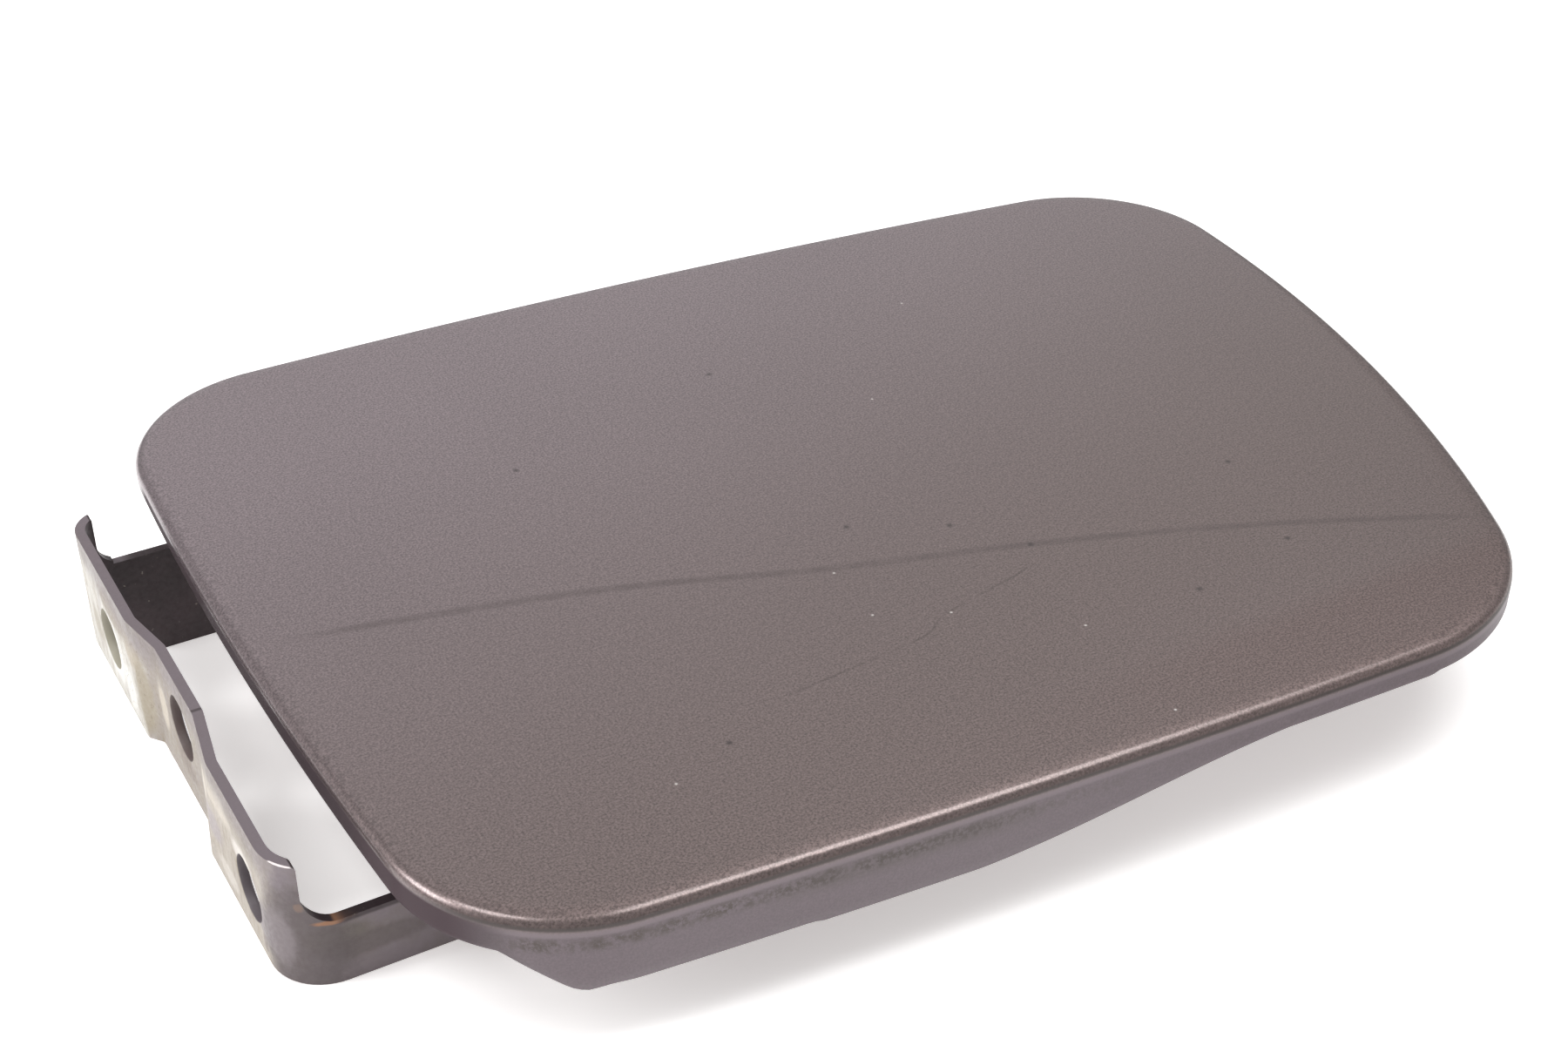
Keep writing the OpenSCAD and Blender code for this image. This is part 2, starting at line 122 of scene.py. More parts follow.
# %% The section from the flat face to the flange
SKIN_TOP = 14.1
SKIN_T = 0.8
INSET = 0.03
ROLL_R = 10
ROLL_ANGLE = 12
FOLD_R = 1.5
FLAT_RING = 12
ROLL_STEPS = 6
FOLD_STEPS = 10
FLANGE_ROWS = 5


def polar(radius, degrees):
    return Vector((radius * math.cos(math.radians(degrees)), radius * math.sin(math.radians(degrees))))


fold_centre = Vector((-FOLD_R - INSET, SKIN_TOP - ROLL_R * (1 - math.cos(math.radians(ROLL_ANGLE)))
                      - FOLD_R * math.cos(math.radians(ROLL_ANGLE))))
roll_centre = fold_centre - polar(ROLL_R - FOLD_R, 90 - ROLL_ANGLE)
section = [Vector((roll_centre.x - FLAT_RING, SKIN_TOP))]
section += [roll_centre + polar(ROLL_R, 90 - ROLL_ANGLE * i / ROLL_STEPS) for i in range(ROLL_STEPS + 1)]
section += [fold_centre + polar(FOLD_R, (90 - ROLL_ANGLE) * (1 - i / FOLD_STEPS))
            for i in range(1, FOLD_STEPS + 1)]
FLANGE_TOP = fold_centre.y
section += [Vector((-INSET, FLANGE_TOP - i)) for i in range(1, FLANGE_ROWS + 1)]
print("points in the section:", len(section), "flange starts at Z", round(FLANGE_TOP, 2))

# %% Draw the section and spin it round the outline
SEAM_GAP = 0.05


def new_point(name):
    """A single point, made as by hand: a plane merged at its centre. It is left in edit mode."""
    bpy.ops.object.select_all(action="DESELECT")
    bpy.ops.mesh.primitive_plane_add(size=1)
    piece = bpy.context.object
    piece.name = piece.data.name = name
    bpy.ops.object.mode_set(mode="EDIT")
    bpy.ops.mesh.merge(type="CENTER")
    return piece


def place_on(arc_now, angle, point):
    """The place in metres of a section point, which is outwards and Z, at an angle on an arc."""
    centre, radius = arc_now[0], arc_now[1]
    reach = radius + point.x
    return Vector((centre.x + reach * math.cos(angle), centre.y + reach * math.sin(angle), point.y)) * MM


skin = new_point("painted_skin")
drawn = [place_on(outline[0], outline[0][2], point) for point in section]
bpy.ops.transform.translate(value=drawn[0])
for before, point in zip(drawn, drawn[1:]):
    bpy.ops.mesh.extrude_region_move(TRANSFORM_OT_translate={"value": point - before})
bpy.ops.mesh.select_all(action="SELECT")
for centre, radius, first, sweep, steps in outline:
    bpy.ops.mesh.spin(steps=steps, angle=-sweep, center=(centre.x * MM, centre.y * MM, 0), axis=(0, 0, 1))
bpy.ops.mesh.select_all(action="SELECT")
bpy.ops.mesh.remove_doubles(threshold=SEAM_GAP * MM)
print("ring of the skin:", len(skin.data.vertices), "points before the update")

# %% Close the flat face


def pick(piece, test, kind):
    """Selects the edges or faces in edit mode that pass a test, and nothing else."""
    bpy.ops.mesh.select_all(action="DESELECT")
    mesh = bmesh.from_edit_mesh(piece.data)
    chosen = [part for part in getattr(mesh, kind) if test(part)]
    for part in chosen:
        part.select_set(True)
    mesh.select_flush_mode()
    bmesh.update_edit_mesh(piece.data)
    return len(chosen)


bpy.ops.mesh.select_mode(type="EDGE")
face_height = (SKIN_TOP - TOUCH) * MM
inner = pick(skin, lambda e: e.is_boundary and min(v.co.z for v in e.verts) > face_height, "edges")
bpy.ops.mesh.edge_face_add()
print("edges round the flat face:", inner)

# %% [markdown]
# The lower edge isn't level. It falls at the near left corner to the deep front skirt, has a small
# step, and rises again towards the latch. The flange's points are slid down to that line.

# %% The flange's lower edge
FLANGE_FRONT_LEFT = 8.8
FLANGE_BACK_LEFT = 10.8
FLANGE_RIGHT = 9.7
SKIRT_RISE = 76
SKIRT_END = 120
SKIRT_TIP = 9.35
SKIRT_STEP_Z = 3.7
BEYOND = 400
skirt_line = [(-BEYOND, FLANGE_FRONT_LEFT), (18.5, FLANGE_FRONT_LEFT), (25, 4.0), (26.5, 3.45), (29.5, 4.0),
              (54, 4.0), (55, SKIRT_STEP_Z), (SKIRT_RISE, SKIRT_STEP_Z)]
RISE_POINTS = 24
for i in range(1, RISE_POINTS + 1):
    share = i / RISE_POINTS
    eased = (share + (1 - math.cos(math.pi * share)) / 2) / 2
    skirt_line.append((SKIRT_RISE + (SKIRT_END - SKIRT_RISE) * share,
                       SKIRT_STEP_Z + (SKIRT_TIP - SKIRT_STEP_Z) * eased))
skirt_line += [(143, SKIRT_TIP), (144, FLANGE_RIGHT), (BEYOND, FLANGE_RIGHT)]


def along(line, x):
    """Height of a line of points at x."""
    for (x0, z0), (x1, z1) in zip(line, line[1:]):
        if x <= x1:
            return z0 + (z1 - z0) * (x - x0) / (x1 - x0)
    return line[-1][1]


def lower_edge(x, y):
    """Height of the skin's lower edge at a place on the outline, all in mm."""
    if y < CORNERS[0][1]:
        return along(skirt_line, x)
    if x < CORNERS[0][0]:
        rising = [(CORNERS[0][1], FLANGE_FRONT_LEFT), (CORNERS[3][1], FLANGE_BACK_LEFT),
                  (BEYOND, FLANGE_BACK_LEFT)]
        return along(rising, y)
    back = [(CORNERS[3][0], FLANGE_BACK_LEFT), (CORNERS[2][0], FLANGE_RIGHT), (BEYOND, FLANGE_RIGHT)]
    return along(back, x) if y > CORNERS[3][1] else FLANGE_RIGHT


bpy.ops.object.mode_set(mode="OBJECT")
for vertex in skin.data.vertices:
    drop = FLANGE_TOP - vertex.co.z / MM
    if drop > TOUCH:
        low = lower_edge(vertex.co.x / MM, vertex.co.y / MM)
        vertex.co.z = (FLANGE_TOP + (low - FLANGE_TOP) * drop / FLANGE_ROWS) * MM
print("lowest point of the skin in mm:", round(min(v.co.z for v in skin.data.vertices) / MM, 2))

# %% [markdown]
# The shell still has no thickness. Its normals are made to point outwards, then Solidify gives it the
# sheet's 0.8 mm on the inside, and a fine Bevel takes the razor edge off the sheared sheet.

# %% Thickness and a dulled edge
SKIN_EDGE = 0.2
BEVEL_STEPS = 2
# Angles in degrees: an edge is bevelled above the first two, for skin and for the rest, and shaded smooth
# below the third
SKIN_SHARP = 50
SHARP_ABOVE = 40
SMOOTH_BELOW = 35


def finish_with(piece, kind, **settings):
    """Adds one modifier, sets it and applies it."""
    bpy.context.view_layer.objects.active = piece
    modifier = piece.modifiers.new(kind.lower(), kind)
    for key, value in settings.items():
        setattr(modifier, key, value)
    bpy.ops.object.modifier_apply(modifier=modifier.name)


def smooth(piece):
    """Smooth shading, with the sharper edges left sharp."""
    bpy.ops.object.select_all(action="DESELECT")
    piece.select_set(True)
    bpy.context.view_layer.objects.active = piece
    bpy.ops.object.shade_smooth_by_angle(angle=math.radians(SMOOTH_BELOW))


def face_outwards(piece):
    bpy.ops.object.mode_set(mode="EDIT")
    bpy.ops.mesh.select_all(action="SELECT")
    bpy.ops.mesh.normals_make_consistent(inside=False)
    bpy.ops.object.mode_set(mode="OBJECT")


face_outwards(skin)
if max(skin.data.polygons, key=lambda face: face.area).normal.z < 0:
    skin.data.flip_normals()
finish_with(skin, "SOLIDIFY", thickness=SKIN_T * MM, offset=-1, use_even_offset=True)
finish_with(skin, "BEVEL", width=SKIN_EDGE * MM, segments=BEVEL_STEPS, limit_method="ANGLE",
            angle_limit=math.radians(SKIN_SHARP))
smooth(skin)
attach(skin, "root")
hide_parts("outer_skin")
print("skin:", len(skin.data.polygons), "faces")

# %% [markdown]
# ## Hinge strap
# One strip of 1.4 mm steel, bent to a U on edge. Its sizes are all in the CAD part, so the strap is a
# merged copy of it: only what a press and years of use do to metal is added. The two steps in the leg
# lean, because their bend lines run wider apart at the top than at the bottom. The rims of the holes
# are worn round by bolts. The spot welds leave round dimples under the feet, and every edge loses its
# sharpness. A dimple is cut with a flat lens, because a large ball would bite into the arm beside it.

# %% A merged copy of a CAD part
WELDED_TOGETHER = 0.002
FLAT_BELOW = 0.5


def merged_copy(node, name):
    """A copy of a CAD part with its loose triangles merged to clean flat faces."""
    piece = bpy.data.objects.new(name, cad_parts[node].data.copy())
    bpy.context.scene.collection.objects.link(piece)
    bpy.ops.object.select_all(action="DESELECT")
    piece.select_set(True)
    bpy.context.view_layer.objects.active = piece
    if piece.data.has_custom_normals:
        bpy.ops.mesh.customdata_custom_splitnormals_clear()
    bpy.ops.object.mode_set(mode="EDIT")
    bpy.ops.mesh.select_all(action="SELECT")
    bpy.ops.mesh.remove_doubles(threshold=WELDED_TOGETHER * MM)
    bpy.ops.mesh.dissolve_limited(angle_limit=math.radians(FLAT_BELOW))
    bpy.ops.object.mode_set(mode="OBJECT")
    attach(piece, "root")
    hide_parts(node)
    return piece


strap = merged_copy("hinge_strap", "bent_strap")
strap_low, strap_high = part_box("hinge_strap")
print("strap:", len(strap.data.polygons), "faces")

# %% Lean the steps in the leg
LEG_BOTTOM = -7.5
LEG_TOP = 10.8
LEG_FACE = 3.2
BEND_HALF = 1.2
# Each bend line of the leg: its Y in the CAD part, then its Y at the leg's bottom and at its top
BEND_LINES = [(16.0, 15.2, 16.5), (10.4, 12.7, 8.9), (-6.4, -5.8, -6.9), (-14.5, -12.1, -17.0)]
LEG_CUTS = [-4, 0, 4, 7.5]

bpy.ops.object.mode_set(mode="EDIT")
for height in LEG_CUTS:
    pick(strap, lambda f: all(v.co.x < LEG_FACE * MM for v in f.verts), "faces")
    bpy.ops.mesh.bisect(plane_co=(0, 0, height * MM), plane_no=(0, 0, 1))
bpy.ops.object.mode_set(mode="OBJECT")
for vertex in strap.data.vertices:
    x, y, z = vertex.co / MM
    if x > LEG_FACE:
        continue
    for line, at_bottom, at_top in BEND_LINES:
        if abs(y - line) < BEND_HALF:
            share = (z - LEG_BOTTOM) / (LEG_TOP - LEG_BOTTOM)
            vertex.co.y += (at_bottom + (at_top - at_bottom) * share - line) * MM
print("leg cut at", LEG_CUTS, "and its bend lines leaned")

# %% Worn rims of the three holes
# Each hole of the leg: its Y, its Z and its radius, from the far one to the near one
HOLES = [(29.0, 0.0, 4.25), (1.2, 2.9, 4.4), (-29.0, 0.0, 4.25)]
RIM_WEAR = 0.35
NEAR_RIM = 0.05


def on_rim(edge):
    """Whether both ends of an edge lie on the rim of one hole, on the same face of the sheet."""
    first, last = edge.verts
    if abs(first.co.x - last.co.x) > TOUCH * MM:
        return False
    for hole_y, hole_z, radius in HOLES:
        off = [abs(math.hypot(v.co.y / MM - hole_y, v.co.z / MM - hole_z) - radius) for v in edge.verts]
        if max(off) < NEAR_RIM:
            return True
    return False


bpy.ops.object.select_all(action="DESELECT")
strap.select_set(True)
bpy.context.view_layer.objects.active = strap
bpy.ops.object.mode_set(mode="EDIT")
bpy.ops.mesh.select_mode(type="EDGE")
rims = pick(strap, on_rim, "edges")
bpy.ops.mesh.bevel(offset=RIM_WEAR * MM, segments=BEVEL_STEPS)
bpy.ops.object.mode_set(mode="OBJECT")
print("edges round the holes:", rims)

# %% Dimples of the spot welds, then softened edges
WELD_R = 2.6
WELD_DEPTH = 0.22
WELD_PITCH = 15
FOOT_UNDER = 0.8
FOOT_FROM, FOOT_TO = 46, 96
FOOT_IN = 11
LENS_HALF = 0.6
LENS_Z = FOOT_UNDER + WELD_DEPTH - LENS_HALF
LENS_R = WELD_R / math.sqrt(1 - (1 - WELD_DEPTH / LENS_HALF) ** 2)
LENS_SIDES = 48
STRAP_EDGE = 0.22
foot_rows = [strap_low.y / MM + FOOT_IN, strap_high.y / MM - FOOT_IN]
weld_places = [((FOOT_FROM + FOOT_TO) / 2 + k * WELD_PITCH, y) for y in foot_rows for k in (-1, 0, 1)]


def press_into(piece, places):
    """Presses shallow round marks up into a piece, with a flat lens at each X and Y in mm."""
    for x, y in places:
        bpy.ops.object.select_all(action="DESELECT")
        bpy.ops.mesh.primitive_uv_sphere_add(radius=1, segments=LENS_SIDES, ring_count=LENS_SIDES // 2,
                                             location=Vector((x, y, LENS_Z)) * MM,
                                             scale=Vector((LENS_R, LENS_R, LENS_HALF)) * MM)
        lens = bpy.context.object
        bpy.ops.object.transform_apply(location=False, rotation=False, scale=True)
        finish_with(piece, "BOOLEAN", object=lens, operation="DIFFERENCE", solver="EXACT")
        bpy.data.objects.remove(lens)


press_into(strap, weld_places)
finish_with(strap, "BEVEL", width=STRAP_EDGE * MM, segments=BEVEL_STEPS, limit_method="ANGLE",
            angle_limit=math.radians(SHARP_ABOVE))
print("strap:", len(strap.data.polygons), "faces, with", len(weld_places), "weld dimples")

# %% [markdown]
# The lenses and the bevels leave a few slivers on the strap, which are triangles without any area. No
# render shows them, but they would be stray faces in an exported mesh. So the strap is turned to
# triangles here, its slivers are dissolved, and what they leave loose is deleted.

# %% Clean triangles on the strap
SLIVER = 0.004

bpy.ops.object.mode_set(mode="EDIT")
bpy.ops.mesh.select_all(action="SELECT")
bpy.ops.mesh.quads_convert_to_tris(quad_method="BEAUTY", ngon_method="BEAUTY")
bpy.ops.mesh.dissolve_degenerate(threshold=SLIVER * MM)
bpy.ops.mesh.remove_doubles(threshold=SLIVER * MM)
bpy.ops.mesh.delete_loose()
bpy.ops.object.mode_set(mode="OBJECT")
smooth(strap)
print("strap:", len(strap.data.polygons), "faces")

# %% [markdown]
# ## The pieces under the lid
# The inner panel, the latch catch, its rivets, the rubber buffers and the foam pads keep their CAD
# shapes. Merged copies of them take a small bevel where a pressed or moulded edge is never sharp.

# %% Copies of the parts under the lid
SOFT_EDGE = {"inner_panel": 0.15, "latch_catch": 0.3, "catch_rivet_near": 0.12, "catch_rivet_far": 0.12,
             "buffer_near": 0.3, "buffer_far": 0.3, "foam_pad_near": 1.2, "foam_pad_far": 1.2}
PIECE_NAME = {"inner_panel": "dished_panel", "latch_catch": "striker_angle",
              "catch_rivet_near": "rivet_near", "catch_rivet_far": "rivet_far",
              "buffer_near": "bump_stop_near", "buffer_far": "bump_stop_far",
              "foam_pad_near": "anti_drum_pad_near", "foam_pad_far": "anti_drum_pad_far"}
under = {}
for node, edge in SOFT_EDGE.items():
    piece = merged_copy(node, PIECE_NAME[node])
    finish_with(piece, "BEVEL", width=edge * MM, segments=BEVEL_STEPS, limit_method="ANGLE",
                angle_limit=math.radians(SHARP_ABOVE), use_clamp_overlap=True)
    smooth(piece)
    under[node] = piece
    print(piece.name, len(piece.data.polygons), "faces")

# %% [markdown]
# ## Finishes
# Each finish is a recipe of nodes on Object coordinates, which are the part's own millimetres once they
# are scaled. So a stain stays on its place when the camera moves. A few short words do all the wiring.

# %% Words for the recipes


class Finish:
    """A material whose recipe is written with short words. Lengths are in mm."""

    def __init__(self, name, **shader):
        self.material = bpy.data.materials.new(name)
        self.material.use_nodes = True
        self.tree = self.material.node_tree
        self.shader = self.tree.nodes["Principled BSDF"]
        for key, value in shader.items():
            self.shader.inputs[key.replace("_", " ")].default_value = value
        scaled = self.tree.nodes.new("ShaderNodeVectorMath")
        scaled.operation = "SCALE"
        scaled.inputs["Scale"].default_value = 1 / MM
        self.wire(self.tree.nodes.new("ShaderNodeTexCoord").outputs["Object"], scaled.inputs[0])
        self.place = scaled.outputs[0]
        split = self.tree.nodes.new("ShaderNodeSeparateXYZ")
        self.wire(self.place, split.inputs[0])
        self.x, self.y, self.z = split.outputs

    def wire(self, source, socket):
        """Plugs an output, a number or a colour into a socket."""
        if isinstance(source, bpy.types.NodeSocket):
            self.tree.links.new(source, socket)
        else:
            socket.default_value = source

    def math(self, operation, *values):
        node = self.tree.nodes.new("ShaderNodeMath")
        node.operation = operation
        for value, socket in zip(values, node.inputs):
            self.wire(value, socket)
        return node.outputs[0]

    def add(self, a, b):
        return self.math("ADD", a, b)

    def less(self, a, b):
        return self.math("SUBTRACT", a, b)

    def times(self, *factors):
        result = factors[0]
        for factor in factors[1:]:
            result = self.math("MULTIPLY", result, factor)
        return result

    def most(self, *values):
        result = values[0]
        for value in values[1:]:
            result = self.math("MAXIMUM", result, value)
        return result

    def ramp(self, value, low, high, start=0.0, end=1.0):
        """A soft step: start below low, end above high."""
        node = self.tree.nodes.new("ShaderNodeMapRange")
        node.interpolation_type = "SMOOTHSTEP"
        for source, socket in zip((value, low, high, start, end), node.inputs):
            self.wire(source, socket)
        return node.outputs[0]

    def band(self, value, low, high, soft):
        """One inside a range, with soft ends."""
        rises = self.ramp(value, low - soft, low + soft)
        falls = self.ramp(value, high - soft, high + soft, 1, 0)
        return self.times(rises, falls)

    def noise(self, size, detail=2.0, rough=0.5, stretch=(1, 1, 1), shift=0.0):
        """Even noise between 0 and 1, with spots of about the given size."""
        mapping = self.tree.nodes.new("ShaderNodeMapping")
        self.wire(self.place, mapping.inputs["Vector"])
        mapping.inputs["Location"].default_value = (shift, shift, shift)
        mapping.inputs["Scale"].default_value = [1 / (size * s) for s in stretch]
        node = self.tree.nodes.new("ShaderNodeTexNoise")
        self.wire(mapping.outputs[0], node.inputs["Vector"])
        node.inputs["Scale"].default_value = 1
        node.inputs["Detail"].default_value = detail
        node.inputs["Roughness"].default_value = rough
        return node.outputs[0]

    def distance(self, centre, weight=(1, 1, 1)):
        """Distance from a point, with each axis multiplied by its weight first."""
        away = self.tree.nodes.new("ShaderNodeVectorMath")
        away.operation = "SUBTRACT"
        self.wire(self.place, away.inputs[0])
        away.inputs[1].default_value = centre
        weighed = self.tree.nodes.new("ShaderNodeVectorMath")
        weighed.operation = "MULTIPLY"
        self.wire(away.outputs[0], weighed.inputs[0])
        weighed.inputs[1].default_value = weight
        length = self.tree.nodes.new("ShaderNodeVectorMath")
        length.operation = "LENGTH"
        self.wire(weighed.outputs[0], length.inputs[0])
        return length.outputs["Value"]

    def blot(self, centre, reach, flat=(1, 1, 1)):
        """One at a point, falling to nothing at the given distance: flat stretches that distance per axis."""
        return self.ramp(self.distance(centre, [1 / (reach * f) for f in flat]), 0.0, 1.0, 1, 0)

    def mix(self, share, under_colour, over_colour, blend="MIX"):
        """Lays one colour over another."""
        node = self.tree.nodes.new("ShaderNodeMix")
        node.data_type = "RGBA"
        node.blend_type = blend
        self.wire(share, node.inputs["Factor"])
        self.wire(under_colour, node.inputs[6])
        self.wire(over_colour, node.inputs[7])
        return node.outputs[2]

    def graph(self, value, points):
        """A graph of the value drawn through given points: points run from left to right, all between 0 and
        1.
        """
        node = self.tree.nodes.new("ShaderNodeFloatCurve")
        self.wire(value, node.inputs["Value"])
        curve = node.mapping.curves[0]
        curve.points[0].location = points[0]
        curve.points[-1].location = points[-1]
        for point in points[1:-1]:
            curve.points.new(*point)
        node.mapping.update()
        return node.outputs[0]

    def bump(self, height, depth, after=None):
        """Raises the surface by a height between 0 and 1 times a depth in mm."""
        node = self.tree.nodes.new("ShaderNodeBump")
        node.inputs["Distance"].default_value = depth * MM
        self.wire(height, node.inputs["Height"])
        if after is not None:
            self.wire(after, node.inputs["Normal"])
        return node.outputs[0]

    def set(self, **sockets):
        for key, value in sockets.items():
            self.wire(value, self.shader.inputs[key.replace("_", " ")])

    def on(self, *pieces):
        for piece in pieces:
            piece.data.materials.clear()
            piece.data.materials.append(self.material)


def colour(red, green, blue):
    """A colour given as the 0 to 255 that a screen shows, made linear."""
    channels = [value / 255 for value in (red, green, blue)]
    return [c / 12.92 if c <= 0.04045 else ((c + 0.055) / 1.055) ** 2.4 for c in channels] + [1]


print("a mid grey brown, made linear:", [round(c, 3) for c in colour(128, 117, 115)])

# %% [markdown]
# ## The lid's paint
# A dark metallic paint with a worn clear coat. Fine flakes make it sparkle grain by grain. It is painted
# browner and darker at the front and lighter and more mauve at the back, as a painted reflection of the
# room, and the skirt is painted darker than the lid as painted shade. It has a long soft scuff line, a
# hairline scratch and a few specks. Brown road dirt lies in a broken band under the front fold. Above the
# dirt lies a lighter strip of painted light from the floor, and right under the fold a dark line, which
# is a painted dark reflection. The flange between the strap's arms is painted dark and dull, as a painted
# dark reflection of the strap and of the shaded space under the lid. The front fold has worn duller
# towards the latch, and the flat face is a little duller than the fold round it.

# %% Base of the paint
PAINT_FRONT_PAINTED_SHADE = colour(114, 100, 98)
PAINT_BACK_PAINTED_REFLECTION = colour(137, 124, 128)
PAINT_SKIRT_PAINTED_SHADE = colour(91, 80, 85)
FLAKE = 0.30
MOTTLE = 1.0
METAL = 0.75
COAT = 0.7
# Heights in mm between which the skirt's look, painted darker as painted shade, gives way to the lid's, for
# its colour and for its grain
SKIRT_TO_LID = (11.5, 13.2)
GRAIN_TO_LID = (12.0, 13.4)
# How much darker and lighter the grains are than the colour, on the skirt, on the lid and in its mottle
WEAK = (0.90, 1.10)
STRONG = (0.64, 1.36)
MOTTLED = (-0.05, 0.05)

paint = Finish("lid_paint", Metallic=METAL, Roughness=0.42, Coat_Weight=COAT, Coat_Roughness=0.18)
# Painted reflection and painted shade: the paint is lighter and more mauve towards the back, and browner and
# darker towards the front
painted_reflection_towards_back = paint.ramp(paint.less(paint.y, paint.times(paint.x, 0.35)), -90, 50)
base = paint.mix(painted_reflection_towards_back, PAINT_FRONT_PAINTED_SHADE, PAINT_BACK_PAINTED_REFLECTION)
# Painted shade: the skirt and the flange below the fold get a darker copy of the paint
base = paint.mix(paint.ramp(paint.z, *SKIRT_TO_LID, 1, 0), base, PAINT_SKIRT_PAINTED_SHADE)
flakes = paint.noise(FLAKE, 1.5, 0.7)
clouds = paint.noise(45, 3, 0.5)
on_lid = paint.ramp(paint.z, *GRAIN_TO_LID)
weak_grain = paint.ramp(flakes, 0.25, 0.75, *WEAK)
strong_grain = paint.ramp(flakes, 0.25, 0.75, *STRONG)
grain = paint.add(weak_grain, paint.times(on_lid, paint.less(strong_grain, weak_grain)))
grain = paint.add(grain, paint.ramp(clouds, 0.3, 0.7, -0.02, 0.02))
mottle = paint.noise(MOTTLE, 2, 0.6, shift=2)
grain = paint.add(grain, paint.times(on_lid, paint.ramp(mottle, 0.3, 0.7, *MOTTLED)))
base = paint.mix(1.0, base, grain, "MULTIPLY")
print("flake size in mm:", FLAKE)

# %% Marks on the flat face
# The part of the lid that both lines are drawn in, then their points from left to right, in mm
LINE_X = (14, 168)
LINE_Y = (-60, 0)
scuff_line = [(14.2, -2.0), (23.7, -3.9), (34.6, -6.5), (45.7, -9.2), (58.1, -12.8), (84.3, -22.5),
              (110.8, -30.8), (139.4, -41.6), (158.0, -50.1), (168.0, -55.0)]
hairline = [(65.4, -43.8), (78.1, -42.6), (87.8, -41.4), (91.3, -39.2), (94.6, -38.2), (104.8, -36.0),
            (109.2, -34.7)]
SCUFF = colour(84, 72, 72)
SCUFF_SIDE = colour(96, 84, 80)
HAIRLINE = colour(70, 60, 58)
SPECK = colour(60, 52, 52)
CHIP = colour(228, 222, 218)
ONTO_FACE = (13.2, 13.6)
dark_specks = [(94.6, 31.1), (58.0, 20.5), (147.4, -27.3), (142.1, -46.8), (124.3, -50.5), (110.9, -30.9),
               (55.2, -48.4), (91.4, -15.0), (103.9, -21.6)]
pale_specks = [(112.3, 12.7), (132.0, 36.1), (84.3, -23.7), (83.8, -34.4), (106.5, -49.8), (93.0, -38.9),
               (46.1, -52.1), (105.8, -69.6)]


def turned(finish):
    """The three parts of the direction that a surface faces."""
    shape = finish.tree.nodes.new("ShaderNodeNewGeometry")
    split = finish.tree.nodes.new("ShaderNodeSeparateXYZ")
    finish.wire(shape.outputs["Normal"], split.inputs[0])
    return split.outputs


def offset_from(finish, points):
    """How far a place on the lid lies beyond a line drawn across it, in mm of Y."""
    low_x, high_x = LINE_X
    low_y, high_y = LINE_Y
    across = finish.math("DIVIDE", finish.less(finish.x, low_x), high_x - low_x)
    drawn_line = [((x - low_x) / (high_x - low_x), (y - low_y) / (high_y - low_y)) for x, y in points]
    height = finish.graph(across, drawn_line)
    return finish.less(finish.y, finish.add(finish.times(height, high_y - low_y), low_y))


on_face = paint.ramp(paint.z, *ONTO_FACE)
off_line = offset_from(paint, scuff_line)
line_core = paint.times(paint.ramp(paint.math("ABSOLUTE", off_line), 0.2, 1.2, 1, 0), on_face)
line_ends = paint.band(paint.x, 20, 166, 8)
near_side = paint.times(paint.ramp(off_line, -26, 0.3), paint.ramp(off_line, -0.3, 0.3, 1, 0), on_face)
base = paint.mix(paint.times(near_side, line_ends, 0.05), base, SCUFF_SIDE)
unevenly = paint.ramp(paint.noise(3, 4, 0.7), 0.3, 0.6, 0.25, 0.5)
base = paint.mix(paint.times(line_core, line_ends, unevenly), base, SCUFF)
off_hair = offset_from(paint, hairline)
hair = paint.times(paint.ramp(paint.math("ABSOLUTE", off_hair), 0.10, 0.30, 1, 0),
                   paint.band(paint.x, 67, 108, 2), on_face, paint.ramp(paint.noise(2.5, 2), 0.35, 0.6))
base = paint.mix(paint.times(hair, 0.38), base, HAIRLINE)
for share, specks, reach, tone in ((0.8, dark_specks, 0.75, SPECK), (0.9, pale_specks, 0.30, CHIP)):
    for spot_x, spot_y in specks:
        spot = paint.blot((spot_x, spot_y, SKIN_TOP), reach)
        base = paint.mix(paint.times(spot, share), base, tone)
print("marks:", len(dark_specks) + len(pale_specks), "specks and two lines")

# %% Dirt along the skirt, with painted light and a painted dark reflection under the fold
ROAD_DIRT = colour(72, 62, 54)
DIRT_FILM = colour(94, 85, 78)
PAINTED_DARK_REFLECTION = colour(50, 41, 39)
PAINTED_FLOOR_LIGHT = colour(112, 101, 106)
SKIRT_Y = -69
# Heights in mm of the dirt, of the painted dark reflection right under the fold and of the strip of painted
# floor light between them
DIRT_Z = (9.5, 11.3)
DARK_REFLECTION_Z = (12.5, 13.05)
FLOOR_LIGHT_Z = (11.6, 12.3)
